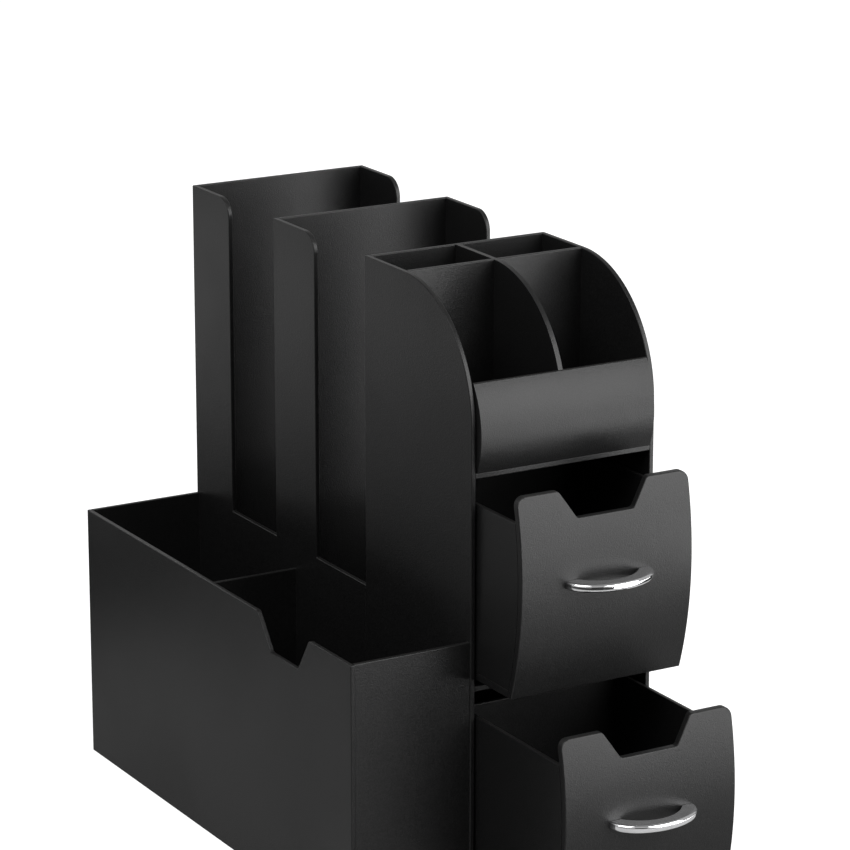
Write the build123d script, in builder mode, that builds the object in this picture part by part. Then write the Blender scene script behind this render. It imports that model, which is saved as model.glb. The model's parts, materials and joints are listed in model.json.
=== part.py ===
from build123d import *
import math
import os

# Condiment caddy: a two-drawer tower, a lid bay and a cup bay in line behind it,
# and one long open bin down the left-hand side.
# Millimetres. X to the right seen from the front, Y to the back, Z up.
# The origin is the centre of the footprint, on the surface that the caddy stands on.

# ---- driving dimensions ----
tower_width = 109.6
bin_width = 69.8
depth = 306.0
height = 325.0
tower_depth = 108.6
bin_height = 145.0
wall = 2.6
base_thickness = 4.0
edge_round = 0.5

# Tower: quarter-round shoulder, shelves, dividers and the bowed fascia
shoulder_radius = 68.0
shelf_thickness = 3.0
lower_shelf_top = 7.5
middle_shelf_top = 121.1
top_shelf_top = 234.4
cross_divider_setback = 67.2
divider_thickness = 2.6
fascia_top = 280.4
fascia_radius = 49.0
fascia_crown_height = 253.2
fascia_bulge = 4.6
fascia_thickness = 2.4
fascia_side_gap = 0.5
tongue_depth = 1.0
tongue_setback = 8.0

# Lid and cup bays: channels with short rounded wings, standing on low side rails
lid_bay_back = 209.4
lid_wing_front = 163.3
cup_wing_front = 261.8
wing_radius = 11.0

# Bin: thumb cut-out in the outer side, divider between napkins and cutlery
cutout_front = 44.0
cutout_back = 100.0
cutout_floor_front = 56.0
cutout_floor_back = 85.6
cutout_depth = 18.8
cutout_radius = 2.6
bin_panel_inset = 0.8
bin_divider_setback = 187.0
bin_divider_height = 132.0

# Drawers: bowed fronts, panels, and skids that ride on the shelves
drawer_width = 101.9
drawer_front_height = 106.9
drawer_lift = 2.95
drawer_front_thickness = 3.8
drawer_bow_radius = 194.4
drawer_crown_height = 59.8
drawer_closed_bulge = 7.2
drawer_wall = 2.4
drawer_side_drop = 13.2
drawer_back_drop = 16.2
drawer_length = 104.6
drawer_floor_thickness = 4.0
drawer_corner_radius = 5.2
notch_top_width = 52.8
notch_floor_width = 33.6
notch_depth = 14.6
notch_radius = 2.4
skid_width = 4.0
skid_gap = 0.35
skid_inset = 9.0
skid_setback = 27.0
upper_pull = 35.4
lower_pull = 78.4

# Bow handles and their screws
handle_half_width = 25.4
handle_reach = 16.4
handle_opening_half_width = 18.4
handle_opening_reach = 9.4
handle_thickness = 4.4
handle_edge_round = 1.7
handle_drop = 0.7
screw_radius = 1.5
screw_head_radius = 3.3
screw_head_height = 2.0
screw_bite = 5.0
screw_seat_gap = 0.05

# ---- places worked out from the driving dimensions ----
left_x = -(tower_width + bin_width) / 2
right_x = (tower_width + bin_width) / 2
tower_x = left_x + bin_width
inner_left_x = tower_x + wall
inner_right_x = right_x - wall
inner_width = inner_right_x - inner_left_x
centre_x = (tower_x + right_x) / 2
front_y = -depth / 2
back_y = depth / 2
tower_back_y = front_y + tower_depth
tower_back_inner_y = tower_back_y - wall
lid_back_y = front_y + lid_bay_back
bin_inner_left_x = left_x + wall
bin_inner_width = tower_x - bin_inner_left_x
divider_height = height - top_shelf_top
lower_align = (Align.MIN, Align.MIN)
corner = (Align.MIN, Align.MIN, Align.MIN)

os.makedirs("parts", exist_ok=True)


# ---- base ----
with BuildPart() as base_plate:
    with Locations((0, 0, base_thickness / 2)):
        Box(right_x - left_x - 2 * wall, depth, base_thickness)
    fillet(base_plate.edges().filter_by(Axis.X).group_by(Axis.Z)[-1], edge_round)
base_plate.part.label = "base_plate"
export_step(base_plate.part, "parts/base_plate.step")


# ---- tower: two round-shouldered sides with stopped grooves for the shelves ----
groove_length = tower_back_inner_y - front_y - tongue_setback

for side_name, outer_x, foot, groove_x in (
    ("tower_left_side", tower_x, base_thickness, inner_left_x - tongue_depth),
    ("tower_right_side", inner_right_x, 0.0, inner_right_x),
):
    with BuildPart() as tower_side:
        with BuildSketch(Plane.YZ.offset(outer_x)) as side_outline:
            with Locations((front_y, foot)):
                Rectangle(tower_depth, height - foot, align=lower_align)
            shoulder = side_outline.vertices().group_by(Axis.Y)[-1].sort_by(Axis.X)[0]
            fillet(shoulder, shoulder_radius)
        extrude(amount=wall)
        rims = tower_side.faces().filter_by(Axis.X).edges()
        fillet(rims, edge_round)
        for shelf_top in (middle_shelf_top, top_shelf_top):
            with Locations((groove_x, front_y + tongue_setback, shelf_top - shelf_thickness)):
                Box(tongue_depth, groove_length, shelf_thickness, align=corner, mode=Mode.SUBTRACT)
    tower_side.part.label = side_name
    export_step(tower_side.part, f"parts/{side_name}.step")

with BuildPart() as tower_back:
    with Locations((centre_x, tower_back_inner_y + wall / 2, (height + base_thickness) / 2)):
        Box(inner_width, wall, height - base_thickness)
    fillet(tower_back.edges().filter_by(Axis.X).group_by(Axis.Z)[-1], edge_round)
tower_back.part.label = "tower_back"
export_step(tower_back.part, "parts/tower_back.step")

with BuildPart() as lower_shelf:
    with Locations((inner_left_x, front_y, base_thickness)):
        Box(
            inner_width,
            tower_back_inner_y - front_y,
            lower_shelf_top - base_thickness,
            align=corner,
        )
    fillet(lower_shelf.edges().filter_by(Axis.X).group_by(Axis.Z)[-1].sort_by(Axis.Y)[0], edge_round)
lower_shelf.part.label = "lower_shelf"
export_step(lower_shelf.part, "parts/lower_shelf.step")

# Each upper shelf has a tongue along both ends, stopped short of the front edge.
for shelf_name, shelf_top in (("middle_shelf", middle_shelf_top), ("top_shelf", top_shelf_top)):
    with BuildPart() as shelf:
        with Locations((inner_left_x, front_y, shelf_top - shelf_thickness)):
            Box(inner_width, tower_back_inner_y - front_y, shelf_thickness, align=corner)
        fillet(shelf.edges().filter_by(Axis.X).group_by(Axis.Y)[0], edge_round)
        with Locations(
            (inner_left_x - tongue_depth, front_y + tongue_setback, shelf_top - shelf_thickness)
        ):
            Box(inner_width + 2 * tongue_depth, groove_length, shelf_thickness, align=corner)
    shelf.part.label = shelf_name
    export_step(shelf.part, f"parts/{shelf_name}.step")


# ---- dividers: they cross in a halved joint behind the shoulder ----
cross_front_y = front_y + cross_divider_setback
halving_height = top_shelf_top + divider_height / 2

with BuildPart() as cross_divider:
    with Locations((inner_left_x, cross_front_y, top_shelf_top)):
        Box(inner_width, divider_thickness, divider_height, align=corner)
    fillet(cross_divider.edges().filter_by(Axis.X).group_by(Axis.Z)[-1], edge_round)
    with Locations((centre_x - divider_thickness / 2, cross_front_y, halving_height)):
        Box(divider_thickness, divider_thickness, divider_height, align=corner, mode=Mode.SUBTRACT)
cross_divider.part.label = "cross_divider"
export_step(cross_divider.part, "parts/cross_divider.step")

fascia_crown_y = front_y - fascia_bulge
fascia_centre_y = fascia_crown_y + fascia_radius
fascia_inner_radius = fascia_radius - fascia_thickness

with BuildPart() as centre_divider:
    with BuildSketch(Plane.YZ.offset(centre_x - divider_thickness / 2)) as divider_outline:
        with Locations((front_y, top_shelf_top)):
            Rectangle(tower_back_inner_y - front_y, divider_height, align=lower_align)
        shoulder = divider_outline.vertices().group_by(Axis.Y)[-1].sort_by(Axis.X)[0]
        fillet(shoulder, shoulder_radius)
        with BuildSketch(mode=Mode.PRIVATE) as fascia_reach:
            with Locations((fascia_centre_y, fascia_crown_height)):
                Circle(fascia_inner_radius)
            with Locations((fascia_centre_y, top_shelf_top)):
                Rectangle(tower_depth, divider_height, align=lower_align)
            with Locations((front_y, fascia_top)):
                Rectangle(tower_depth, height - fascia_top, align=lower_align)
        add(fascia_reach.sketch, mode=Mode.INTERSECT)
    extrude(amount=divider_thickness)
    with Locations((centre_x - divider_thickness / 2, cross_front_y, top_shelf_top)):
        Box(
            divider_thickness,
            divider_thickness,
            divider_height / 2,
            align=corner,
            mode=Mode.SUBTRACT,
        )
centre_divider.part.label = "centre_divider"
export_step(centre_divider.part, "parts/centre_divider.step")


# ---- fascia: a bowed shell between the sides, closed by an end wall at each side ----
fascia_width = inner_width - 2 * fascia_side_gap
fascia_left_x = inner_left_x + fascia_side_gap
fascia_height = fascia_top - top_shelf_top

with BuildPart() as fascia:
    with BuildSketch(Plane.YZ.offset(fascia_left_x)) as fascia_section:
        with Locations((fascia_centre_y, fascia_crown_height)):
            Circle(fascia_radius)
            Circle(fascia_inner_radius, mode=Mode.SUBTRACT)
        with Locations((fascia_crown_y, top_shelf_top)):
            Rectangle(fascia_radius, fascia_height, align=lower_align, mode=Mode.INTERSECT)
    extrude(amount=fascia_width)
    fillet(fascia.edges().filter_by(Axis.X).group_by(Axis.Z)[-1], 2 * edge_round)
    for end_x in (fascia_left_x, fascia_left_x + fascia_width - fascia_thickness):
        with BuildSketch(Plane.YZ.offset(end_x)):
            with Locations((fascia_centre_y, fascia_crown_height)):
                Circle(fascia_radius - fascia_thickness / 2)
            with Locations((fascia_crown_y, top_shelf_top)):
                Rectangle(
                    2 * fascia_bulge,
                    fascia_height - 2 * fascia_thickness,
                    align=lower_align,
                    mode=Mode.INTERSECT,
                )
        extrude(amount=fascia_thickness)
fascia.part.label = "fascia"
export_step(fascia.part, "parts/fascia.step")


# ---- lid and cup bays: low side rails that rise into rounded wings ----
for side_name, outer_x, foot in (
    ("bay_left_side", tower_x, base_thickness),
    ("bay_right_side", inner_right_x, 0.0),
):
    with BuildPart() as bay_side:
        with BuildSketch(Plane.YZ.offset(outer_x)) as bay_outline:
            with Locations((tower_back_y, foot)):
                Rectangle(back_y - tower_back_y, bin_height - foot, align=lower_align)
            for wing_front, wing_back in ((lid_wing_front, lid_bay_back), (cup_wing_front, depth)):
                with Locations((front_y + wing_front, foot)):
                    Rectangle(wing_back - wing_front, height - foot, align=lower_align)
            wing_tops = bay_outline.vertices().group_by(Axis.Y)[-1].sort_by(Axis.X)
            fillet([wing_tops[0], wing_tops[2]], wing_radius)
        extrude(amount=wall)
        fillet(bay_side.faces().filter_by(Axis.X).edges(), edge_round)
    bay_side.part.label = side_name
    export_step(bay_side.part, f"parts/{side_name}.step")

for panel_name, panel_back_y in (("lid_bay_back", lid_back_y), ("cup_bay_back", back_y)):
    with BuildPart() as bay_back:
        with Locations((inner_left_x, panel_back_y - wall, base_thickness)):
            Box(inner_width, wall, height - base_thickness, align=corner)
        fillet(bay_back.edges().filter_by(Axis.X).group_by(Axis.Z)[-1], edge_round)
    bay_back.part.label = panel_name
    export_step(bay_back.part, f"parts/{panel_name}.step")


# ---- bin: outer side with a thumb cut-out, end panels and a divider ----
with BuildPart() as bin_side:
    with BuildSketch(Plane.YZ.offset(left_x)) as bin_outline:
        with Locations((front_y, 0)):
            Rectangle(depth, bin_height, align=lower_align)
        with BuildLine():
            Polyline(
                (front_y + cutout_front, bin_height),
                (front_y + cutout_floor_front, bin_height - cutout_depth),
                (front_y + cutout_floor_back, bin_height - cutout_depth),
                (front_y + cutout_back, bin_height),
                close=True,
            )
        make_face(mode=Mode.SUBTRACT)
        cutout_corners = bin_outline.vertices().filter_by_position(
            Axis.X, front_y + cutout_front - 1, front_y + cutout_back + 1
        )
        fillet(cutout_corners, cutout_radius)
    extrude(amount=wall)
    fillet(bin_side.faces().filter_by(Axis.X).edges(), edge_round)
bin_side.part.label = "bin_side"
export_step(bin_side.part, "parts/bin_side.step")

for panel_name, panel_y, panel_top in (
    ("bin_front", front_y + bin_panel_inset, bin_height),
    ("bin_divider", front_y + bin_divider_setback, bin_divider_height),
    ("bin_back", back_y - wall, bin_height),
):
    with BuildPart() as bin_panel:
        with Locations((bin_inner_left_x, panel_y, base_thickness)):
            Box(bin_inner_width, wall, panel_top - base_thickness, align=corner)
        fillet(bin_panel.edges().filter_by(Axis.X).group_by(Axis.Z)[-1], edge_round)
    bin_panel.part.label = panel_name
    export_step(bin_panel.part, f"parts/{panel_name}.step")


# ---- drawers: each stands open by its own pull, as a body that slides along Y ----
drawer_left_x = centre_x - drawer_width / 2
drawer_right_x = centre_x + drawer_width / 2
bow_inner_radius = drawer_bow_radius - drawer_front_thickness
screw_offset = (handle_half_width + handle_opening_half_width) / 2
handle_opening_radius = (handle_opening_half_width**2 + handle_opening_reach**2) / (
    2 * handle_opening_reach
)
notch_slope = (notch_top_width - notch_floor_width) / 2 / notch_depth


def bow_y(radius, centre_y, rise):
    """Y of a bowed face, at a height above its crown."""
    return centre_y - math.sqrt(radius**2 - rise**2)


for drawer, shelf_top, pull in (
    ("lower_drawer", lower_shelf_top, lower_pull),
    ("upper_drawer", middle_shelf_top, upper_pull),
):
    floor_z = shelf_top + drawer_lift
    floor_top_z = floor_z + drawer_floor_thickness
    front_top_z = floor_z + drawer_front_height
    side_top_z = front_top_z - drawer_side_drop
    crown_z = floor_z + drawer_crown_height
    handle_z = crown_z - handle_drop
    crown_y = front_y - drawer_closed_bulge - pull
    bow_centre_y = crown_y + drawer_bow_radius
    drawer_back_y = front_y - pull + drawer_length

    # Bowed front: an arc section with rounded upper corners and the finger notch.
    with BuildPart() as drawer_front:
        with BuildSketch(Plane.YZ.offset(drawer_left_x)):
            with BuildLine():
                outer_arc = ThreePointArc(
                    (bow_y(drawer_bow_radius, bow_centre_y, floor_z - crown_z), floor_z),
                    (crown_y, crown_z),
                    (bow_y(drawer_bow_radius, bow_centre_y, front_top_z - crown_z), front_top_z),
                )
                inner_arc = ThreePointArc(
                    (bow_y(bow_inner_radius, bow_centre_y, floor_z - crown_z), floor_z),
                    (crown_y + drawer_front_thickness, crown_z),
                    (bow_y(bow_inner_radius, bow_centre_y, front_top_z - crown_z), front_top_z),
                )
                Line(outer_arc @ 0, inner_arc @ 0)
                Line(outer_arc @ 1, inner_arc @ 1)
            make_face()
        extrude(amount=drawer_width)
        with BuildSketch(Plane.XZ.offset(-crown_y)) as notch_outline:
            notch_floor_z = front_top_z - notch_depth
            half_floor = notch_floor_width / 2
            half_mouth = half_floor + 2 * notch_slope * notch_depth
            with BuildLine():
                Polyline(
                    (centre_x - half_mouth, front_top_z + notch_depth),
                    (centre_x - half_floor, notch_floor_z),
                    (centre_x + half_floor, notch_floor_z),
                    (centre_x + half_mouth, front_top_z + notch_depth),
                    close=True,
                )
            make_face()
            fillet(notch_outline.vertices().group_by(Axis.Y)[0], notch_radius)
        extrude(amount=-drawer_length / 2, both=True, mode=Mode.SUBTRACT)
        top_edges = drawer_front.edges().filter_by_position(Axis.Z, front_top_z - 0.01, front_top_z + 0.01)
        cross_edges = top_edges.filter_by(Axis.Y).group_by(Axis.X)
        fillet(cross_edges[0] + cross_edges[-1], drawer_corner_radius)
        fillet(cross_edges[1] + cross_edges[-2], notch_radius)
        for which_face in (0, 1):
            bowed_faces = drawer_front.faces().sort_by(SortBy.AREA)[-2:].sort_by(Axis.Y)
            fillet(bowed_faces[which_face].edges(), edge_round)
        for screw_x in (centre_x - screw_offset, centre_x + screw_offset):
            with Locations(Plane((screw_x, crown_y, handle_z), z_dir=(0, -1, 0))):
                Cylinder(screw_radius, 4 * drawer_front_thickness, mode=Mode.SUBTRACT)
    drawer_front.part.label = f"{drawer}_front"
    export_step(drawer_front.part, f"parts/{drawer}_front.step")

    # Sides: their front ends follow the back of the bow.
    for side_name, side_x in (
        ("left_side", drawer_left_x),
        ("right_side", drawer_right_x - drawer_wall),
    ):
        with BuildPart() as drawer_side:
            with BuildSketch(Plane.YZ.offset(side_x)):
                with BuildLine():
                    front_end = ThreePointArc(
                        (bow_y(bow_inner_radius, bow_centre_y, floor_top_z - crown_z), floor_top_z),
                        (crown_y + drawer_front_thickness, crown_z),
                        (bow_y(bow_inner_radius, bow_centre_y, side_top_z - crown_z), side_top_z),
                    )
                    Polyline(
                        front_end @ 1,
                        (drawer_back_y, side_top_z),
                        (drawer_back_y, floor_top_z),
                        front_end @ 0,
                    )
                make_face()
            extrude(amount=drawer_wall)
            rails = drawer_side.edges().filter_by(Axis.Y)
            fillet(rails.group_by(Axis.Z)[-1] + rails.group_by(Axis.Z)[0], edge_round)
        drawer_side.part.label = f"{drawer}_{side_name}"
        export_step(drawer_side.part, f"parts/{drawer}_{side_name}.step")

    with BuildPart() as drawer_back:
        with Locations((drawer_left_x + drawer_wall, drawer_back_y - drawer_wall, floor_top_z)):
            Box(
                drawer_width - 2 * drawer_wall,
                drawer_wall,
                front_top_z - drawer_back_drop - floor_top_z,
                align=corner,
            )
        fillet(drawer_back.edges().filter_by(Axis.X).group_by(Axis.Z)[-1], edge_round)
    drawer_back.part.label = f"{drawer}_back"
    export_step(drawer_back.part, f"parts/{drawer}_back.step")

    # Floor: a plate up to the back of the bow, on two skids that ride on the shelf.
    with BuildPart() as drawer_floor:
        with BuildSketch(Plane.YZ.offset(drawer_left_x)):
            with BuildLine():
                front_end = ThreePointArc(
                    (bow_y(bow_inner_radius, bow_centre_y, floor_z - crown_z), floor_z),
                    (
                        bow_y(
                            bow_inner_radius,
                            bow_centre_y,
                            floor_z + drawer_floor_thickness / 2 - crown_z,
                        ),
                        floor_z + drawer_floor_thickness / 2,
                    ),
                    (bow_y(bow_inner_radius, bow_centre_y, floor_top_z - crown_z), floor_top_z),
                )
                Polyline(
                    front_end @ 1,
                    (drawer_back_y, floor_top_z),
                    (drawer_back_y, floor_z),
                    front_end @ 0,
                )
            make_face()
        extrude(amount=drawer_width)
        rails = drawer_floor.edges().filter_by(Axis.Y)
        fillet(rails, edge_round)
        for skid_x in (drawer_left_x + skid_inset, drawer_right_x - skid_inset - skid_width):
            with Locations((skid_x, crown_y + skid_setback, floor_z - drawer_lift + skid_gap)):
                Box(
                    skid_width,
                    drawer_back_y - crown_y - skid_setback,
                    drawer_lift - skid_gap,
                    align=corner,
                )
    drawer_floor.part.label = f"{drawer}_floor"
    export_step(drawer_floor.part, f"parts/{drawer}_floor.step")

    # Bow handle: half an ellipse in plan, with a round-backed opening for the fingers.
    with BuildPart() as handle:
        with BuildSketch(Plane.XY.offset(handle_z - handle_thickness / 2)):
            with Locations((centre_x, crown_y)):
                Ellipse(handle_half_width, handle_reach)
            with Locations((centre_x, crown_y + handle_opening_radius - handle_opening_reach)):
                Circle(handle_opening_radius, mode=Mode.SUBTRACT)
            with Locations((centre_x, crown_y)):
                Rectangle(
                    2 * handle_half_width,
                    handle_reach,
                    align=(Align.CENTER, Align.MIN),
                    mode=Mode.SUBTRACT,
                )
        extrude(amount=handle_thickness)
        outer_curves = handle.edges().filter_by(GeomType.ELLIPSE)
        fillet(outer_curves, handle_edge_round)
        for screw_x in (centre_x - screw_offset, centre_x + screw_offset):
            with Locations(Plane((screw_x, crown_y, handle_z), z_dir=(0, -1, 0))):
                Cylinder(
                    screw_radius,
                    screw_bite,
                    align=(Align.CENTER, Align.CENTER, Align.MIN),
                    mode=Mode.SUBTRACT,
                )
    handle.part.label = f"{drawer}_handle"
    export_step(handle.part, f"parts/{drawer}_handle.step")

    # Pan-head screws from inside the drawer, through the front and into the handle's feet.
    with BuildPart() as handle_screws:
        for screw_x in (centre_x - screw_offset, centre_x + screw_offset):
            head_y = crown_y + drawer_front_thickness + screw_seat_gap
            with Locations(Plane((screw_x, head_y, handle_z), z_dir=(0, -1, 0))):
                Cylinder(
                    screw_radius,
                    drawer_front_thickness + screw_bite,
                    align=(Align.CENTER, Align.CENTER, Align.MIN),
                )
            with Locations(Plane((screw_x, head_y, handle_z), z_dir=(0, 1, 0))):
                Cylinder(
                    screw_head_radius,
                    screw_head_height,
                    align=(Align.CENTER, Align.CENTER, Align.MIN),
                )
        crowns = handle_screws.edges().filter_by(GeomType.CIRCLE).group_by(Axis.Y)[-1]
        fillet(crowns, screw_head_height / 2)
    handle_screws.part.label = f"{drawer}_screws"
    export_step(handle_screws.part, f"parts/{drawer}_screws.step")
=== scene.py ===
import json
import logging
import math
from collections.abc import Callable, Sequence
from dataclasses import dataclass
from enum import Enum

import bmesh
import bpy
from mathutils import Euler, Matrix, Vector


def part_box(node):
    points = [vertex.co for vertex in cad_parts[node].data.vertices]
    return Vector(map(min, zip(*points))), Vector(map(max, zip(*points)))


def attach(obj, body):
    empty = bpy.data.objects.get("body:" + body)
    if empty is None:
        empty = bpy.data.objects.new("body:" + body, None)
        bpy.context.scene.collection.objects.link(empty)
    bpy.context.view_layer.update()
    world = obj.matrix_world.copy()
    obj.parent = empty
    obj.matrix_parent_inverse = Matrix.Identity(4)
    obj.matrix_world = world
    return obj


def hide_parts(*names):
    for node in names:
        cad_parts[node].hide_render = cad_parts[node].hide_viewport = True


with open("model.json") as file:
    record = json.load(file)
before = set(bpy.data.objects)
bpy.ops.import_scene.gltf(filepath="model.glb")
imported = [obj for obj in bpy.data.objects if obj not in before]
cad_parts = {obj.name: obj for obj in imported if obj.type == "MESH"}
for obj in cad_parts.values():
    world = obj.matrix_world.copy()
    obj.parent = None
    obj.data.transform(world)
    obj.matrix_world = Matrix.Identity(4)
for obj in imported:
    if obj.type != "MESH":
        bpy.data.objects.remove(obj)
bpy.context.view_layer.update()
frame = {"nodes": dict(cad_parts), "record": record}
LOG = logging.getLogger("caddy")

Point = tuple[float, float, float]
Colour = tuple[float, float, float, float]
Span = tuple[float, float]
Feed = float | Point | Colour | bpy.types.NodeSocket

DRAWERS = ("upper_drawer", "lower_drawer")
MM = 0.001
NEAR = 0.1 * MM
PARALLEL = 0.999
SHARP = math.radians(35.0)
WHITE: Colour = (1.0, 1.0, 1.0, 1.0)
BLACK: Colour = (0.0, 0.0, 0.0, 1.0)


class Slot(Enum):
    """The record's material slots."""

    PLASTIC = "black_plastic"
    CHROME = "chrome"
    STEEL = "screw_steel"


class Axis(Enum):
    """The frame's axes."""

    X = (1.0, 0.0, 0.0)
    Y = (0.0, 1.0, 0.0)
    Z = (0.0, 0.0, 1.0)

    def vector(self) -> Vector:
        """Returns the unit vector along the axis."""
        return Vector(self.value)


class Part(Enum):
    """The parts of a mesh that are picked."""

    FACE = "FACE"
    EDGE = "EDGE"


class NodeSheet:
    """Adds nodes to one tree, and joins their sockets by name."""

    def __init__(self, tree: bpy.types.NodeTree) -> None:
        """Keeps the tree that the nodes go into."""
        self.tree = tree

    def add(
        self, kind: str, values: dict[str | int, Feed] | None = None, **options: str | int | bool
    ) -> bpy.types.Node:
        """Adds one node.

        Args:
            kind: the node's type, without the word ShaderNode.
            values: each socket's name or number, and its value or the socket that feeds it.
            options: the node's own settings.

        Returns:
            The new node.
        """
        prefix = "" if kind.startswith("NodeGroup") else "ShaderNode"
        node = self.tree.nodes.new(prefix + kind)
        for name, value in options.items():
            setattr(node, name, value)
        for name, value in (values or {}).items():
            self.feed(node, name, value)
        return node

    def feed(self, node: bpy.types.Node, name: str | int, value: Feed) -> None:
        """Sets a socket to a value, or links another node's socket to it.

        Args:
            node: the node that the socket is on.
            name: the socket's name or number.
            value: the value, or the socket to link.
        """
        socket = node.inputs[name]
        if isinstance(value, bpy.types.NodeSocket):
            self.tree.links.new(value, socket)
        else:
            socket.default_value = value

    def math(
        self, operation: str, first: Feed, second: Feed, clamp: bool = False
    ) -> bpy.types.NodeSocket:
        """Joins two values with one operation.

        Args:
            operation: Blender's name of the operation.
            first: a number or a socket.
            second: a number or a socket.
            clamp: whether the result stays between 0 and 1.

        Returns:
            The result's socket.
        """
        node = self.add("Math", {0: first, 1: second}, operation=operation, use_clamp=clamp)
        return node.outputs[0]

    def plus(self, first: Feed, second: Feed) -> bpy.types.NodeSocket:
        """Adds two values."""
        return self.math("ADD", first, second)

    def less(self, first: Feed, second: Feed) -> bpy.types.NodeSocket:
        """Takes the second value from the first."""
        return self.math("SUBTRACT", first, second)

    def times(self, first: Feed, second: Feed) -> bpy.types.NodeSocket:
        """Multiplies two values."""
        return self.math("MULTIPLY", first, second)

    def spread(
        self, value: Feed, span: Span, onto: tuple[Feed, Feed] = (0.0, 1.0)
    ) -> bpy.types.NodeSocket:
        """Maps a value from one range on to another, smoothly and with clamping.

        Args:
            value: the socket to map.
            span: the ends of the range that it comes from.
            onto: what those two ends become.

        Returns:
            The mapped value's socket.
        """
        values = {"Value": value, "From Min": span[0], "From Max": span[1]}
        values |= {"To Min": onto[0], "To Max": onto[1]}
        return self.add("MapRange", values, interpolation_type="SMOOTHSTEP").outputs["Result"]

    def blend(self, factor: Feed, first: Feed, second: Feed) -> bpy.types.NodeSocket:
        """Mixes two colours.

        Args:
            factor: how much of the second colour there is.
            first: a colour or a socket.
            second: a colour or a socket.

        Returns:
            The mixed colour's socket.
        """
        first_colour, second_colour, mixed_colour = 6, 7, 2
        values = {"Factor": factor, first_colour: first, second_colour: second}
        return self.add("Mix", values, data_type="RGBA").outputs[mixed_colour]

    def noise(
        self, place: Feed, scale: Feed, detail: float, roughness: float = 0.5
    ) -> bpy.types.NodeSocket:
        """Adds a cloudy pattern.

        Args:
            place: the point on the piece.
            scale: how fine the pattern is, in clouds per metre.
            detail: how many finer layers it has.
            roughness: how strong the finer layers are.

        Returns:
            The pattern's value, from 0 to 1.
        """
        values = {"Vector": place, "Scale": scale, "Detail": detail, "Roughness": roughness}
        return self.add("TexNoise", values).outputs[0]

    def bump(self, height: Feed, distance: float, strength: float = 1.0) -> bpy.types.NodeSocket:
        """Turns a height into a normal.

        Args:
            height: the height, from 0 to 1.
            distance: how far a height of 1 stands out, in metres.
            strength: how much of the bump shows.

        Returns:
            The normal's socket.
        """
        values = {"Strength": strength, "Distance": distance, "Height": height}
        return self.add("Bump", values).outputs[0]

    def on_piece(self) -> bpy.types.NodeSocket:
        """Returns the point's place in the piece's own frame."""
        return self.add("TexCoord").outputs["Object"]

    def mirrored(self) -> bpy.types.NodeSocket:
        """Returns 1 for what is seen in gloss or through glass, and 0 for the rest."""
        rays = self.add("LightPath").outputs
        return self.math("MAXIMUM", rays["Is Glossy Ray"], rays["Is Transmission Ray"])

    def seen(self) -> bpy.types.NodeSocket:
        """Returns 1 for what the camera sees itself, and 0 for the rest."""
        return self.add("LightPath").outputs["Is Camera Ray"]


class Effect:
    """A shader node group with named inputs and outputs, built once."""

    name: str
    inputs: tuple[tuple[str, float], ...]
    outputs: tuple[str, ...]

    def group(self) -> bpy.types.NodeTree:
        """Finds the group, or builds it the first time.

        Returns:
            The group.
        """
        known = bpy.data.node_groups.get(self.name)
        if known:
            return known
        tree = bpy.data.node_groups.new(self.name, "ShaderNodeTree")
        for name, value in self.inputs:
            socket = tree.interface.new_socket(name, in_out="INPUT", socket_type="NodeSocketFloat")
            socket.default_value = value
        for name in self.outputs:
            tree.interface.new_socket(name, in_out="OUTPUT", socket_type="NodeSocketFloat")
        sheet = NodeSheet(tree)
        self.build(sheet, sheet.add("NodeGroupInput"), sheet.add("NodeGroupOutput"))
        return tree

    def build(self, sheet: NodeSheet, start: bpy.types.Node, end: bpy.types.Node) -> None:
        """Fills the group between its input node and its output node."""
        raise NotImplementedError

    def place(self, sheet: NodeSheet, **values: Feed) -> bpy.types.Node:
        """Places the group in a material.

        Args:
            sheet: the material's nodes.
            values: the group's inputs, with _ for a space.

        Returns:
            The group's node.
        """
        node = sheet.add("Group")
        node.node_tree = self.group()
        for name, value in values.items():
            sheet.feed(node, name.replace("_", " "), value)
        return node


class MouldedGrain(Effect):
    """The fine spark-eroded grain of a moulded panel, with faint flow marks."""

    name: str = "moulded_grain"
    inputs: tuple[tuple[str, float], ...] = (("Grain Size", 0.6 * MM),)
    outputs: tuple[str, ...] = ("Height", "Speckle", "Flow")
    pit_share: float = 0.9
    swell_share: float = 0.1
    swell_fineness: float = 0.21
    flow_scale: float = 9.0
    speckle_span: Span = (0.32, 0.68)
    flow_span: Span = (0.3, 0.7)

    def build(self, sheet: NodeSheet, start: bpy.types.Node, end: bpy.types.Node) -> None:
        """Joins fine pits, a softer swell and long flow marks.

        Args:
            sheet: the group's nodes.
            start: the group's input node.
            end: the group's output node.
        """
        place = sheet.on_piece()
        scale = sheet.math("DIVIDE", 1.0, start.outputs["Grain Size"])
        pits = sheet.noise(place, scale, detail=3.0, roughness=0.6)
        swell = sheet.noise(place, sheet.times(scale, self.swell_fineness), detail=2.0)
        flow = sheet.noise(place, self.flow_scale, detail=3.0, roughness=0.55)
        height = sheet.plus(sheet.times(pits, self.pit_share), sheet.times(swell, self.swell_share))
        sheet.feed(end, "Height", height)
        sheet.feed(end, "Speckle", sheet.spread(pits, self.speckle_span))
        sheet.feed(end, "Flow", sheet.spread(flow, self.flow_span))


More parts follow.
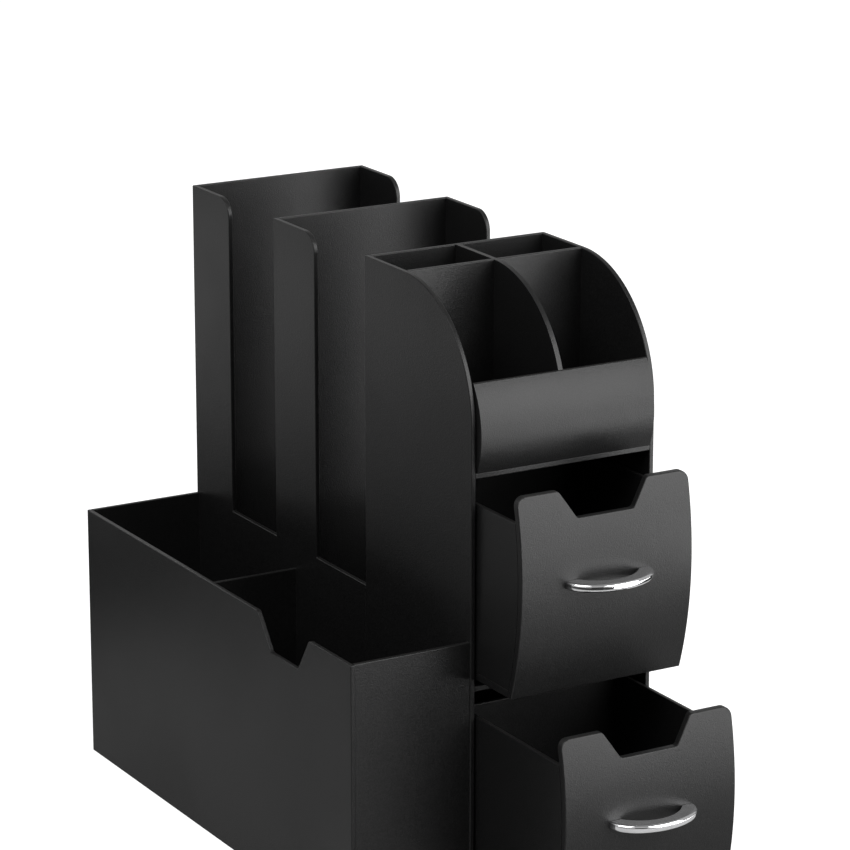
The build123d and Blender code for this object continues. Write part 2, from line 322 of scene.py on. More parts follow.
class EdgeRubHighlight(Effect):
    """A mask that is 1 on rounded edges, where handling polishes the grain and a painted highlight
    lightens the edge.
    """

    name: str = "edge_rub"
    inputs: tuple[tuple[str, float], ...] = (("Width", 0.6 * MM), ("Breaks", 0.35))
    outputs: tuple[str, ...] = ("Mask",)
    samples: int = 4
    turn_span: Span = (0.995, 0.86)
    break_scale: float = 60.0

    def build(self, sheet: NodeSheet, start: bpy.types.Node, end: bpy.types.Node) -> None:
        """Compares a rounded normal with the true one, and breaks the line up.

        Args:
            sheet: the group's nodes.
            start: the group's input node.
            end: the group's output node.
        """
        width = start.outputs["Width"]
        rounded = sheet.add("Bevel", {"Radius": width}, samples=self.samples).outputs[0]
        true = sheet.add("NewGeometry").outputs["Normal"]
        turn = sheet.add("VectorMath", {0: rounded, 1: true}, operation="DOT_PRODUCT")
        edge = sheet.spread(turn.outputs["Value"], self.turn_span)
        breaks = sheet.noise(sheet.on_piece(), self.break_scale, detail=4.0)
        kept = sheet.less(1.0, sheet.times(breaks, start.outputs["Breaks"]))
        sheet.feed(end, "Mask", sheet.math("MULTIPLY", edge, kept, clamp=True))


class Dust(Effect):
    """A mask of fine dust and lint, which settles where the surface faces up."""

    name: str = "dust"
    inputs: tuple[tuple[str, float], ...] = (("Amount", 0.3),)
    outputs: tuple[str, ...] = ("Mask",)
    facing_span: Span = (0.2, 0.95)
    on_walls: float = 0.02
    film_scale: float = 35.0
    film_span: Span = (0.42, 0.75)
    film_strength: float = 0.6
    speck_scale: float = 420.0
    speck_span: Span = (0.16, 0.05)
    speck_strength: float = 0.35

    def build(self, sheet: NodeSheet, start: bpy.types.Node, end: bpy.types.Node) -> None:
        """Lays a broken film and specks on what faces up.

        Args:
            sheet: the group's nodes.
            start: the group's input node.
            end: the group's output node.
        """
        normal = sheet.add("NewGeometry").outputs["Normal"]
        up = sheet.add("SeparateXYZ", {0: normal}).outputs["Z"]
        facing_up = sheet.spread(up, self.facing_span, (self.on_walls, 1.0))
        place = sheet.on_piece()
        patches = sheet.noise(place, self.film_scale, detail=6.0, roughness=0.65)
        cells = sheet.add("TexVoronoi", {"Vector": place, "Scale": self.speck_scale})
        specks = sheet.spread(cells.outputs["Distance"], self.speck_span)
        film = sheet.spread(patches, self.film_span, (0.0, self.film_strength))
        both = sheet.plus(film, sheet.times(specks, self.speck_strength))
        amount = sheet.times(facing_up, start.outputs["Amount"])
        sheet.feed(end, "Mask", sheet.math("MULTIPLY", both, amount, clamp=True))


GRAIN = MouldedGrain()
EDGE_RUB_HIGHLIGHT = EdgeRubHighlight()
DUST = Dust()


def blank_material(name: str) -> tuple[bpy.types.Material, NodeSheet, bpy.types.Node]:
    """Makes an empty material.

    Args:
        name: the material's name.

    Returns:
        The material, its nodes and its Principled shader.
    """
    material = bpy.data.materials.new(name)
    material.use_nodes = True
    material.node_tree.nodes.clear()
    sheet = NodeSheet(material.node_tree)
    shader = sheet.add("BsdfPrincipled")
    sheet.add("OutputMaterial", {"Surface": shader.outputs[0]})
    return material, sheet, shader


@dataclass(frozen=True)
class PlasticFinish:
    """Black moulded plastic with a satin grain."""

    name: str
    shade: float = 0.0095
    coolness: float = 0.01
    darkest: float = 0.7
    lightest: float = 1.3
    grain: float = 0.7 * MM
    relief: float = 0.13 * MM
    specular: float = 0.26
    roughness: Span = (0.28, 0.35)
    pit_roughness: float = 0.05
    # painted highlight: the lighter colour of rounded edges stands partly for worn plastic and
    # partly for the light that catches them
    rubbed_highlight: Colour = (0.028, 0.028, 0.02856, 1.0)
    rub_highlight_strength: float = 0.6
    rub_polish: float = 0.1
    dust: float = 0.04
    dust_shade: Colour = (0.32, 0.31, 0.29, 1.0)
    dust_roughness: float = 0.3

    def tone(self, factor: float) -> Colour:
        """Returns the plastic's shade times a factor, with a trace more blue."""
        grey, blue = self.shade * factor, self.shade * (factor + self.coolness)
        return (grey, grey, blue, 1.0)

    def material(self) -> bpy.types.Material:
        """Builds the material.

        Returns:
            The material.
        """
        made, sheet, shader = blank_material(self.name)
        grain = GRAIN.place(sheet, Grain_Size=self.grain).outputs
        rub_highlight = EDGE_RUB_HIGHLIGHT.place(sheet).outputs["Mask"]
        dust = DUST.place(sheet, Amount=self.dust).outputs["Mask"]
        body = sheet.blend(grain["Speckle"], self.tone(self.darkest), self.tone(self.lightest))
        # painted highlight: rounded edges are blended towards the lighter colour, partly as wear
        # and partly as light caught on the edge
        rub_highlighted = sheet.blend(sheet.times(rub_highlight, self.rub_highlight_strength), body, self.rubbed_highlight)
        sheet.feed(shader, "Base Color", sheet.blend(dust, rub_highlighted, self.dust_shade))
        uneven = sheet.spread(grain["Flow"], (0.0, 1.0), self.roughness)
        pitted = sheet.plus(uneven, sheet.times(grain["Speckle"], self.pit_roughness))
        polished = sheet.less(pitted, sheet.times(rub_highlight, self.rub_polish))
        dusted = sheet.plus(polished, sheet.times(dust, self.dust_roughness))
        sheet.feed(shader, "Roughness", dusted)
        sheet.feed(shader, "Normal", sheet.bump(grain["Height"], self.relief))
        sheet.feed(shader, "Specular IOR Level", self.specular)
        return made


@dataclass(frozen=True)
class MetalFinish:
    """Bare or plated metal, with fine scratches and a trace of handling."""

    name: str
    shade: Point = (0.86, 0.86, 0.87)
    dulling: float = 0.9
    roughness: float = 0.025
    smears: float = 0.03
    smear_scale: float = 110.0
    smear_span: Span = (0.45, 0.72)
    scratches: float = 0.02
    scratch_scale: float = 900.0
    brushing: Point = (1.0, 1.0, 1.0)
    relief: float = 0.01 * MM
    relief_strength: float = 0.25

    def material(self) -> bpy.types.Material:
        """Builds the material.

        Returns:
            The material.
        """
        made, sheet, shader = blank_material(self.name)
        place = sheet.on_piece()
        brushed = sheet.add("Mapping", {"Vector": place, "Scale": self.brushing}).outputs[0]
        scratches = sheet.noise(brushed, self.scratch_scale, detail=4.0)
        smears = sheet.spread(sheet.noise(place, self.smear_scale, detail=3.0), self.smear_span)
        dull = (*(self.dulling * part for part in self.shade), 1.0)
        sheet.feed(shader, "Base Color", sheet.blend(smears, (*self.shade, 1.0), dull))
        handled = sheet.plus(self.roughness, sheet.times(smears, self.smears))
        scratched = sheet.plus(handled, sheet.times(scratches, self.scratches))
        sheet.feed(shader, "Roughness", scratched)
        sheet.feed(shader, "Metallic", 1.0)
        sheet.feed(shader, "Normal", sheet.bump(scratches, self.relief, self.relief_strength))
        return made


def near(value: float, places: Sequence[float]) -> bool:
    """Tells whether a value is within a tenth of a millimetre of one of the places."""
    return any(abs(value - place) < NEAR for place in places)


def clear_bench() -> None:
    """Leaves edit mode, and deselects everything."""
    if bpy.context.object and bpy.context.object.mode != "OBJECT":
        bpy.ops.object.mode_set(mode="OBJECT")
    bpy.ops.object.select_all(action="DESELECT")


def take_up(piece: bpy.types.Object) -> None:
    """Selects one piece and nothing else.

    Args:
        piece: the piece to select.
    """
    clear_bench()
    piece.select_set(True)
    bpy.context.view_layer.objects.active = piece


def settle(name: str) -> bpy.types.Object:
    """Names the active object, and moves its place and turn into its mesh.

    Args:
        name: the name of the object and of its mesh.

    Returns:
        The object.
    """
    bpy.ops.object.transform_apply(location=True, rotation=True, scale=True)
    piece = bpy.context.object
    piece.name = name
    piece.data.name = name
    return piece


def modify(piece: bpy.types.Object, name: str, kind: str, **options: object) -> None:
    """Adds a modifier to the active object, and applies it.

    Args:
        piece: the active object.
        name: the modifier's name.
        kind: Blender's name of its kind.
        options: its settings.
    """
    modifier = piece.modifiers.new(name, kind)
    for option, value in options.items():
        setattr(modifier, option, value)
    bpy.ops.object.modifier_apply(modifier=modifier.name)


def carve(piece: bpy.types.Object, cutter: bpy.types.Object) -> None:
    """Cuts one object's shape out of another, and throws the cutter away.

    Args:
        piece: the object that is cut.
        cutter: the shape that is cut out.
    """
    take_up(piece)
    modify(piece, "carved", "BOOLEAN", operation="DIFFERENCE", object=cutter)
    bpy.data.objects.remove(cutter)


def copy_piece(piece: bpy.types.Object, name: str, shift: Vector) -> bpy.types.Object:
    """Copies a finished piece, with a mesh of its own.

    Args:
        piece: the piece to copy.
        name: the copy's name.
        shift: how far the copy is from the first.

    Returns:
        The copy.
    """
    take_up(piece)
    bpy.ops.object.duplicate()
    bpy.context.object.location = shift
    return settle(name)


class Workpiece:
    """A mesh on the bench: it is shaped in edit mode, then finished with modifiers."""

    def __init__(self, name: str, low: Vector, high: Vector, sides: int = 0) -> None:
        """Starts from a block between two corners, or from an upright column that fills it.

        Args:
            name: the piece's name.
            low: the lowest corner.
            high: the highest corner.
            sides: how many sides a column has, or 0 for a block.
        """
        clear_bench()
        size = [above - below for below, above in zip(low, high)]
        middle = [(above + below) / 2 for below, above in zip(low, high)]
        if sides:
            bpy.ops.mesh.primitive_cylinder_add(
                vertices=sides, radius=0.5, depth=1.0, location=middle, scale=size
            )
        else:
            bpy.ops.mesh.primitive_cube_add(size=1.0, location=middle, scale=size)
        self.piece = settle(name)
        bpy.ops.object.mode_set(mode="EDIT")

    def mesh(self) -> bmesh.types.BMesh:
        """Returns the mesh that is being edited."""
        return bmesh.from_edit_mesh(self.piece.data)

    def pick_all(self) -> None:
        """Selects everything."""
        bpy.ops.mesh.select_all(action="SELECT")

    def pick(self, kind: Part, wanted: Callable[[Vector], bool], along: Axis | None = None) -> None:
        """Selects only the faces or edges whose middle passes a test.

        Args:
            kind: faces or edges.
            wanted: the test of the middle point.
            along: the axis of the face's normal or the edge's direction, where it matters.
        """
        bpy.ops.mesh.select_mode(type=kind.value)
        bpy.ops.mesh.select_all(action="DESELECT")
        mesh = self.mesh()
        for part in mesh.faces if kind is Part.FACE else mesh.edges:
            if kind is Part.FACE:
                middle, line = part.calc_center_median(), part.normal
            else:
                start, end = (corner.co for corner in part.verts)
                middle, line = (start + end) / 2, (end - start).normalized()
            aligned = along is None or abs(line.dot(along.vector())) > PARALLEL
            if aligned and wanted(middle):
                part.select_set(True)
        bmesh.update_edit_mesh(self.piece.data)

    def slice(self, axis: Axis, places: Sequence[float]) -> None:
        """Cuts the whole mesh across, at each place along an axis.

        Args:
            axis: the axis that the cuts lie across.
            places: where along it they are.
        """
        normal = axis.vector()
        for place in places:
            self.pick_all()
            bpy.ops.mesh.bisect(plane_co=normal * place, plane_no=normal)

    def halve(self, place: float) -> None:
        """Saws off what lies behind a plane across Y, and closes the cut.

        Args:
            place: the plane's Y.
        """
        normal = Axis.Y.vector()
        self.pick_all()
        bpy.ops.mesh.bisect(
            plane_co=normal * place, plane_no=normal, clear_outer=True, use_fill=True
        )

    def move_up(self, rise: float) -> None:
        """Moves what is selected up or, with a rise below zero, down."""
        bpy.ops.transform.translate(value=Axis.Z.vector() * rise)

    def draw_up(self, rise: float) -> None:
        """Draws the selected faces up out of the mesh."""
        move = {"value": Axis.Z.vector() * rise}
        bpy.ops.mesh.extrude_region_move(TRANSFORM_OT_translate=move)

    def round(self, radius: float, segments: int) -> None:
        """Rounds the selected edges."""
        bpy.ops.mesh.bevel(offset=radius, segments=segments, affect="EDGES", clamp_overlap=False)

    def bow(self, crown: Span, radius: float, thickness: float) -> None:
        """Moves each point of an upright plate back, on to an arc about a line along X.

        Args:
            crown: Y and Z of the foremost line of the bow.
            radius: the outer face's radius.
            thickness: the plate's thickness, by which the inner face's radius is less.
        """
        mesh = self.mesh()
        front, height = crown
        for point in mesh.verts:
            depth = min(max(point.co.y - front, 0.0), thickness)
            rise = point.co.z - height
            point.co.y = front + radius - math.sqrt((radius - depth) ** 2 - rise**2)
        bmesh.update_edit_mesh(self.piece.data)

    def finish(self, edge: float, segments: int = 3) -> bpy.types.Object:
        """Breaks the sharp edges, and lets the light run round them.

        Args:
            edge: the width of the broken edges, or 0 to leave them.
            segments: faces across each broken edge.

        Returns:
            The finished object.
        """
        bpy.ops.object.mode_set(mode="OBJECT")
        bpy.ops.object.shade_smooth()
        if edge:
            modify(
                self.piece, "broken_edges", "BEVEL", width=edge, segments=segments,
                limit_method="ANGLE", angle_limit=SHARP, use_clamp_overlap=False,
            )
        modify(self.piece, "weighted_normals", "WEIGHTED_NORMAL", weight=100, keep_sharp=True)
        return self.piece


@dataclass
class SidePanels:
    """The upright side panels: round-shouldered, winged, or cut out along the top.

    wing_fronts, lid_bay_back and cutout are places along Y in the shared frame.
    """

    edge: float = 0.5 * MM
    shoulder: float = 68.0 * MM
    shoulder_segments: int = 32
    rail_height: float = 145.0 * MM
    wing_fronts: Span = (10.3 * MM, 108.8 * MM)
    lid_bay_back: float = 56.4 * MM
    wing_corner: float = 11.0 * MM
    wing_segments: int = 14
    cutout: tuple[float, ...] = (-109.0 * MM, -97.0 * MM, -67.4 * MM, -53.0 * MM)
    cutout_depth: float = 18.8 * MM
    cutout_corner: float = 1.35 * MM
    cutout_segments: int = 6

    def tower_side(self, node: str) -> bpy.types.Object:
        """Rounds the top front corner of a tall panel.

        Args:
            node: the CAD node that the panel stands for.

        Returns:
            The finished panel.
        """
        low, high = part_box(node)
        work = Workpiece(f"{node}_panel", low, high)

        def top_front(at: Vector) -> bool:
            """Finds the upper front edge."""
            return at.y < low[1] + MM and at.z > high[2] - MM

        work.pick(Part.EDGE, top_front, Axis.X)
        work.round(self.shoulder, self.shoulder_segments)
        return work.finish(self.edge)

    def bay_side(self, node: str) -> bpy.types.Object:
        """Draws two rounded wings up out of a low rail.

        Args:
            node: the CAD node that the panel stands for.

        Returns:
            The finished panel.
        """
        low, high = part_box(node)
        work = Workpiece(f"{node}_panel", low, Vector((high[0], high[1], self.rail_height)))
        first, second = self.wing_fronts
        work.slice(Axis.Y, (first, self.lid_bay_back, second))

        def on_wing(at: Vector) -> bool:
            """Tells the tops of the two wings from the rail."""
            under_wing = first < at.y < self.lid_bay_back or at.y > second
            return under_wing and at.z > self.rail_height - MM

        work.pick(Part.FACE, on_wing, Axis.Z)
        work.draw_up(high[2] - self.rail_height)

        def top_front(at: Vector) -> bool:
            """Finds the upper front edge of each wing."""
            return near(at.y, self.wing_fronts) and at.z > high[2] - MM

        work.pick(Part.EDGE, top_front, Axis.X)
        work.round(self.wing_corner, self.wing_segments)
        return work.finish(self.edge)

    def bin_side(self, node: str) -> bpy.types.Object:
        """Pushes the cut-out down into the upper edge of the long outer panel.

        Args:
            node: the CAD node that the panel stands for.

        Returns:
            The finished panel.
        """
        low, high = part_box(node)
        work = Workpiece(f"{node}_panel", low, high)
        work.slice(Axis.Y, self.cutout)

        def on_floor(at: Vector) -> bool:
            """Finds the two upper edges at the cut-out's floor."""
            return near(at.y, self.cutout[1:3]) and at.z > high[2] - MM

        work.pick(Part.EDGE, on_floor, Axis.X)
        work.move_up(-self.cutout_depth)

        def at_corner(at: Vector) -> bool:
            """Finds the four upper edges that the cut-out's outline turns at."""
            return near(at.y, self.cutout) and at.z > high[2] - 2 * self.cutout_depth

        work.pick(Part.EDGE, at_corner, Axis.X)
        work.round(self.cutout_corner, self.cutout_segments)
        return work.finish(self.edge)


@dataclass
class DrawerFront:
    """A bowed front with rounded upper corners, a notch between them and a soft rim."""

    bow_radius: float = 194.4 * MM
    thickness: float = 3.8 * MM
    crown_height: float = 59.8 * MM
    corner: float = 5.2 * MM
    corner_segments: int = 10
    notch_mouth: float = 52.8 * MM
    notch_floor: float = 33.6 * MM
    notch_depth: float = 14.6 * MM
    notch_corner: float = 1.35 * MM
    notch_segments: int = 6
    rim: float = 0.55 * MM
    rim_segments: int = 4
    rows: int = 36

    def build(self, drawer: str) -> bpy.types.Object:
        """Shapes a flat plate, then bows it.

        Args:
            drawer: the drawer's body.

        Returns:
            The finished front.
        """
        low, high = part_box(f"{drawer}_front")
        plate_back = Vector((high[0], low[1] + self.thickness, high[2]))
        work = Workpiece(f"{drawer}_front_panel", low, plate_back)
        middle = (low[0] + high[0]) / 2
        floor_ends = [middle - self.notch_floor / 2, middle + self.notch_floor / 2]
        mouth_ends = [middle - self.notch_mouth / 2, middle + self.notch_mouth / 2]
        work.slice(Axis.X, mouth_ends + floor_ends)

        def above(places: list[float]) -> Callable[[Vector], bool]:
            """Makes the test for edges along the top, at given places along X."""
            return lambda at: near(at.x, places) and at.z > high[2] - 2 * self.notch_depth

        work.pick(Part.EDGE, above(floor_ends), Axis.Y)
        work.move_up(-self.notch_depth)
        work.pick(Part.EDGE, above(mouth_ends + floor_ends), Axis.Y)
        work.round(self.notch_corner, self.notch_segments)
        work.pick(Part.EDGE, above([low[0], high[0]]), Axis.Y)
        work.round(self.corner, self.corner_segments)
        work.finish(self.rim, self.rim_segments)
        bpy.ops.object.mode_set(mode="EDIT")
        step = (high[2] - low[2]) / self.rows
        work.slice(Axis.Z, [low[2] + step * row for row in range(1, self.rows)])
        work.bow((low[1], low[2] + self.crown_height), self.bow_radius, self.thickness)
        return work.finish(0.0)


@dataclass
class BowHandle:
    """A plated handle: half an ellipse in plan, with a round-backed opening."""

    opening_half_width: float = 18.4 * MM
    opening_reach: float = 9.4 * MM
    cutter_overhang: float = 1.0 * MM
    edge_round: float = 1.7 * MM
    round_segments: int = 8
    edge: float = 0.3 * MM
    sides: int = 192

    def build(self, drawer: str) -> bpy.types.Object:
        """Turns an oval bar, saws it in half along its seat, and bores the opening.

        Args:
            drawer: the drawer's body.

        Returns:
            The finished handle.
        """
        low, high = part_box(f"{drawer}_handle")
        seat = high[1]
        oval_back = Vector((high[0], 2 * seat - low[1], high[2]))
        work = Workpiece(f"{drawer}_bow_handle", low, oval_back, self.sides)
        work.pick(Part.EDGE, lambda at: near(at.z, (low[2], high[2])))
        work.round(self.edge_round, self.round_segments)
        work.halve(seat)
        radius = (self.opening_half_width**2 + self.opening_reach**2) / (2 * self.opening_reach)
        reach = Vector((radius, radius, (high[2] - low[2]) / 2 + self.cutter_overhang))
        middle = Vector((low[0] + high[0], 0.0, low[2] + high[2])) / 2
        middle.y = seat - self.opening_reach + radius
        cutter = Workpiece("opening_cutter", middle - reach, middle + reach, self.sides)
        carve(work.piece, cutter.piece)
        return work.finish(self.edge)


@dataclass
class CrossScrews:
    """Pan-head screws with a cross recess, seen from inside the drawers."""

    head_radius: float = 3.3 * MM
    head_height: float = 2.0 * MM
    head_sides: int = 32
    crown: float = 0.9 * MM
    crown_segments: int = 5
    recess_width: float = 0.9 * MM
    recess_length: float = 3.6 * MM
    recess_depth: float = 1.2 * MM
    cutter_overhang: float = 1.0 * MM

    def places(self, drawer: str) -> dict[str, Vector]:
        """Finds the middle of each head's flat side from the box of the CAD screws.

        Args:
            drawer: the drawer's body.

        Returns:
            The places, by the side of the drawer.
        """
        low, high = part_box(f"{drawer}_screws")
        seat = high[1] - self.head_height
        height = (low[2] + high[2]) / 2
        return {
            "left": Vector((low[0] + self.head_radius, seat, height)),
            "right": Vector((high[0] - self.head_radius, seat, height)),
        }

    def head(self, name: str, place: Vector) -> bpy.types.Object:
        """Models one head, whose flat side is against the drawer front.

        Args:
            name: the piece's name.
            place: the middle of the flat side.

        Returns:
            The head.
        """
        clear_bench()
        top = place.y + self.head_height
        bpy.ops.mesh.primitive_cylinder_add(
            vertices=self.head_sides, radius=self.head_radius, depth=self.head_height,
            location=place + Axis.Y.vector() * self.head_height / 2,
            rotation=(math.radians(-90.0), 0.0, 0.0),
        )
        head = settle(name)
        modify(
            head, "crown", "BEVEL",
            width=self.crown, segments=self.crown_segments, limit_method="ANGLE",
        )
        for across, up in (
            (self.recess_width / 2, self.recess_length / 2),
            (self.recess_length / 2, self.recess_width / 2),
        ):
            low = Vector((place.x - across, top - self.recess_depth, place.z - up))
            high = Vector((place.x + across, top + self.cutter_overhang, place.z + up))
            carve(head, Workpiece("recess_cutter", low, high).piece)
        bpy.ops.object.shade_smooth_by_angle(angle=SHARP)
        return head


class Wardrobe:
    """The object's finishes, by the record's slots."""

    def __init__(self) -> None:
        """Builds the material of each slot."""
        finishes = {
            Slot.PLASTIC: PlasticFinish("panel_plastic"),
            Slot.CHROME: MetalFinish("bright_chrome"),
            Slot.STEEL: MetalFinish(
                "zinc_steel", shade=(0.55, 0.55, 0.56), roughness=0.3, smears=0.15,
                brushing=(1.0, 14.0, 14.0),
            ),
        }
        self.materials = {slot: finish.material() for slot, finish in finishes.items()}

    def dress(self, piece: bpy.types.Object, slot: Slot) -> None:
        """Puts a slot's material on a whole piece."""
        piece.data.materials.clear()
        piece.data.materials.append(self.materials[slot])


def turn_to(place: Point, aim: Point, side: str) -> Euler:
    """Returns the turn that points one side of an object at a point."""
    return (Vector(aim) - Vector(place)).to_track_quat(side, "Y").to_euler()


def show_in_gloss_only(prop: bpy.types.Object) -> None:
    """Hides a stage piece from the camera, and from all light but reflections.

    Args:
        prop: the stage piece.
    """
    prop.visible_camera = False
    prop.visible_shadow = False
    prop.visible_diffuse = False


@dataclass(frozen=True)
class SoftBox:
    """A square lamp that faces one point, in metres and watts."""

    name: str
    place: Point
    aim: Point
    size: float
    power: float

    def build(self) -> None:
        """Hangs the lamp."""
        light = bpy.data.lights.new(self.name, "AREA")
        light.shape = "SQUARE"
        light.size = self.size
        light.energy = self.power
        lamp = bpy.data.objects.new(self.name, light)
        lamp.location = self.place
        lamp.rotation_euler = turn_to(self.place, self.aim, "-Z")
        bpy.context.scene.collection.objects.link(lamp)


@dataclass(frozen=True)
class BlackCard:
    """A square black card that stands behind the camera, for a dark streak in the chrome."""

    name: str
    place: Point
    aim: Point
    size: float
    shade: Colour = (0.01, 0.01, 0.01, 1.0)

    def build(self) -> None:
        """Stands the card up."""
        clear_bench()
        turn = turn_to(self.place, self.aim, "Z")
        bpy.ops.mesh.primitive_plane_add(size=self.size, location=self.place, rotation=turn)
        card = bpy.context.object
        card.name = self.name
        show_in_gloss_only(card)
        made, sheet, shader = blank_material(self.name)
        sheet.feed(shader, "Base Color", self.shade)
        sheet.feed(shader, "Roughness", 1.0)
        card.data.materials.append(made)


@dataclass(frozen=True)
class BounceSheet:
    """A bright sheet that lies by the object, for pale reflections low down."""

    name: str
    corners: tuple[Span, ...]
    glow: float
    height: float = 3 * MM

    def build(self) -> None:
        """Lays the sheet just over the floor."""
        data = bpy.data.meshes.new(self.name)
        points = [(x, y, self.height) for x, y in self.corners]
        data.from_pydata(points, [], [tuple(range(len(points)))])
        bounce = bpy.data.objects.new(self.name, data)
        bpy.context.scene.collection.objects.link(bounce)
        show_in_gloss_only(bounce)
        made, sheet, shader = blank_material(self.name)
        sheet.feed(shader, "Base Color", BLACK)
        sheet.feed(shader, "Emission Color", WHITE)
        sheet.feed(shader, "Emission Strength", self.glow)
        data.materials.append(made)


@dataclass
class Studio:
    """Floor, lamps, world and camera."""

    camera_place: Point = (-0.95497, -1.70797, 0.77717)
    camera_yaw: float = 30.269
    camera_pitch: float = -15.904
    camera_roll: float = -0.053
    lens: float = 159.94
    film_width: float = 36.0
    far_clip: float = 50.0
    floor_size: float = 12.0
    floor_shade: Colour = (0.4, 0.4, 0.4, 1.0)
    floor_roughness: float = 0.9
    floor_specular: float = 0.1
    floor_seen: float = 0.94
    floor_mirrored: float = 0.15
    table_centre: Point = (0.0, -0.12, 0.0)
    table_rim: Span = (0.42, 0.6)
    beyond_table: Colour = (0.02, 0.02, 0.02, 1.0)
    sky_seen: float = 0.8
    sky_mirrored: float = 0.2
    zenith_mirrored: float = 0.0
    zenith_span: Span = (0.7, 0.95)
    fill: float = 0.25
    props: tuple[SoftBox | BlackCard | BounceSheet, ...] = (
        SoftBox("overhead_box", (-1.1, -0.6, 1.7), (0.0, -0.05, 0.15), 1.3, 19.0),
        SoftBox("front_box", (1.05, -1.8, 0.97), (0.03, -0.15, 0.15), 1.9, 62.0),
        SoftBox("rear_box", (0.1, 2.3, 0.9), (0.0, 0.1, 0.15), 1.0, 5.0),
        BlackCard("standing_card", (-0.75, -2.6, 0.42), (0.03, -0.15, 0.25), 1.1),
        BounceSheet(
            "front_bounce", ((0.143, -0.723), (1.02, -2.06), (2.02, -1.4), (1.146, -0.064)), 5.0
        ),
        BounceSheet(
            "back_bounce",
            (
                (-0.85, -0.05), (-0.3, 0.75), (0.5, 0.8), (1.0, 0.3),
                (3.0, 1.0), (0.0, 3.5), (-3.0, 0.9),
            ),
            0.58,
        ),
    )

    def floor(self) -> None:
        """Lays the pale floor, which the camera sees as white outside the shadow.

        Reflections see it only near the object: beyond the table's rim it is dark to them.
        """
        clear_bench()
        bpy.ops.mesh.primitive_plane_add(size=self.floor_size)
        ground = bpy.context.object
        ground.name = "studio_floor"
        made, sheet, shader = blank_material("studio_floor")
        place = sheet.add("NewGeometry").outputs["Position"]
        away = sheet.add("VectorMath", {0: place, 1: self.table_centre}, operation="DISTANCE")
        on_table = sheet.spread(away.outputs["Value"], self.table_rim, (1.0, 0.0))
        mirrored = sheet.mirrored()
        gone = sheet.times(mirrored, sheet.less(1.0, on_table))
        shade = sheet.blend(gone, self.floor_shade, self.beyond_table)
        sheet.feed(shader, "Base Color", shade)
        sheet.feed(shader, "Roughness", self.floor_roughness)
        sheet.feed(shader, "Specular IOR Level", self.floor_specular)
        sheet.feed(shader, "Emission Color", WHITE)
        seen = sheet.times(sheet.seen(), self.floor_seen)
        glow = sheet.plus(seen, sheet.times(mirrored, self.floor_mirrored))
        sheet.feed(shader, "Emission Strength", sheet.times(glow, sheet.less(1.0, gone)))
        ground.data.materials.append(made)

    def world(self) -> None:
        """Makes a white backdrop for the camera, and a dimmer light from all round."""
        world = bpy.data.worlds.new("studio")
        bpy.context.scene.world = world
        world.use_nodes = True
        world.node_tree.nodes.clear()
        sheet = NodeSheet(world.node_tree)
        aim = sheet.add("TexCoord").outputs["Generated"]
        height = sheet.add("SeparateXYZ", {0: aim}).outputs["Z"]
        sky = sheet.spread(height, self.zenith_span, (self.sky_mirrored, self.zenith_mirrored))
        seen = sheet.times(sheet.seen(), self.sky_seen)
        glow = sheet.plus(seen, sheet.times(sheet.mirrored(), sky))
        strength = sheet.plus(glow, self.fill)
        backdrop = sheet.add("Background", {"Color": WHITE, "Strength": strength})
        sheet.add("OutputWorld", {"Surface": backdrop.outputs[0]})

    def camera(self) -> None:
        """Places the camera where the photograph's was."""
        data = bpy.data.cameras.new("photo_camera")
        data.lens = self.lens
        data.sensor_width = self.film_width
        data.sensor_fit = "HORIZONTAL"
        data.clip_end = self.far_clip
        camera = bpy.data.objects.new("photo_camera", data)
        camera.location = self.camera_place
        camera.rotation_mode = "XYZ"
        turn = (90.0 + self.camera_pitch, self.camera_roll, -self.camera_yaw)
        camera.rotation_euler = [math.radians(angle) for angle in turn]
        bpy.context.scene.collection.objects.link(camera)
        bpy.context.scene.camera = camera

    def build(self) -> None:
        """Sets up everything round the object."""
        self.floor()
        self.world()
        for prop in self.props:
            prop.build()
        self.camera()
        bpy.context.scene.view_settings.view_transform = "Standard"


def body_of(node: str) -> str:
    """Returns the body that a CAD node belongs to."""
    drawers = [drawer for drawer in DRAWERS if node.startswith(drawer)]
    return drawers[0] if drawers else "frame"


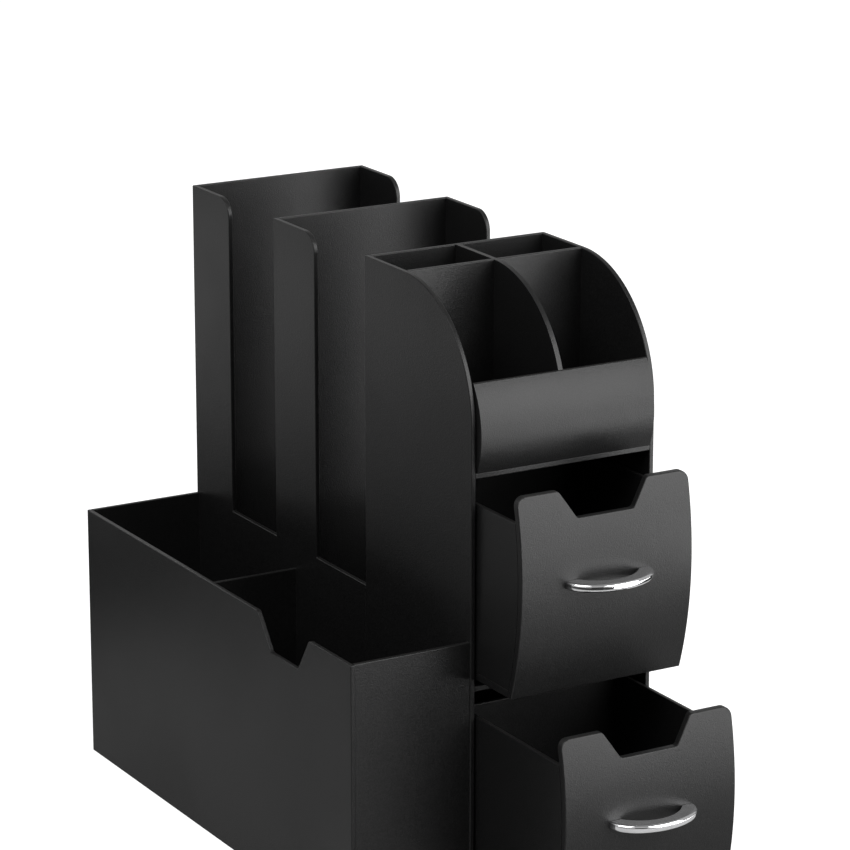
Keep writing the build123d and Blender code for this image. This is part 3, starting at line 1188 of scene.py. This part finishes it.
def model_panels() -> list[tuple[bpy.types.Object, str]]:
    """Models the side panels.

    The right-hand ones reach lower than the left-hand ones, so they aren't copies.

    Returns:
        Each panel, and the node that it stands for.
    """
    panels = SidePanels()
    return [
        (panels.tower_side("tower_left_side"), "tower_left_side"),
        (panels.tower_side("tower_right_side"), "tower_right_side"),
        (panels.bay_side("bay_left_side"), "bay_left_side"),
        (panels.bay_side("bay_right_side"), "bay_right_side"),
        (panels.bin_side("bin_side"), "bin_side"),
    ]


def model_drawers() -> list[tuple[bpy.types.Object, str]]:
    """Models one drawer's front and handle, and copies them to the other drawer.

    Returns:
        Each piece, and the node that it stands for.
    """
    first, other = DRAWERS
    made = []
    models = {"front": DrawerFront().build(first), "handle": BowHandle().build(first)}
    for kind, piece in models.items():
        node, other_node = f"{first}_{kind}", f"{other}_{kind}"
        shift = Vector(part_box(other_node)[0]) - Vector(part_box(node)[0])
        twin = copy_piece(piece, piece.name.replace(first, other), shift)
        made += [(piece, node), (twin, other_node)]
    return made


def model_screws() -> list[tuple[bpy.types.Object, str]]:
    """Models one screw head, and copies it to the other three places.

    Returns:
        Each head, and the node that it stands for.
    """
    screws = CrossScrews()
    first, *others = [
        (f"{drawer}_{side}_screw_head", f"{drawer}_screws", place)
        for drawer in DRAWERS
        for side, place in screws.places(drawer).items()
    ]
    name, node, first_place = first
    head = screws.head(name, first_place)
    made = [(head, node)]
    for name, node, place in others:
        made.append((copy_piece(head, name, place - first_place), node))
    return made


def assemble(wardrobe: Wardrobe, slots: dict[str, Slot]) -> None:
    """Builds the new pieces, and puts each in the place of its CAD node.

    Args:
        wardrobe: the finishes.
        slots: each node's material slot.
    """
    for piece, node in model_panels() + model_drawers() + model_screws():
        wardrobe.dress(piece, slots[node])
        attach(piece, body_of(node))
        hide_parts(node)
        LOG.info("%s stands for %s", piece.name, node)


def main() -> None:
    """Dresses the CAD nodes, builds the new pieces and sets up the studio."""
    logging.basicConfig(level=logging.INFO, format="%(name)s: %(message)s")
    wardrobe = Wardrobe()
    slots = {part["node"]: Slot(part["material_slot"]) for part in frame["record"]["subparts"]}
    for name, slot in slots.items():
        wardrobe.dress(frame["nodes"][name], slot)
        LOG.info("%s is finished in %s", name, slot.value)
    assemble(wardrobe, slots)
    Studio().build()


if __name__ == "__main__":
    main()
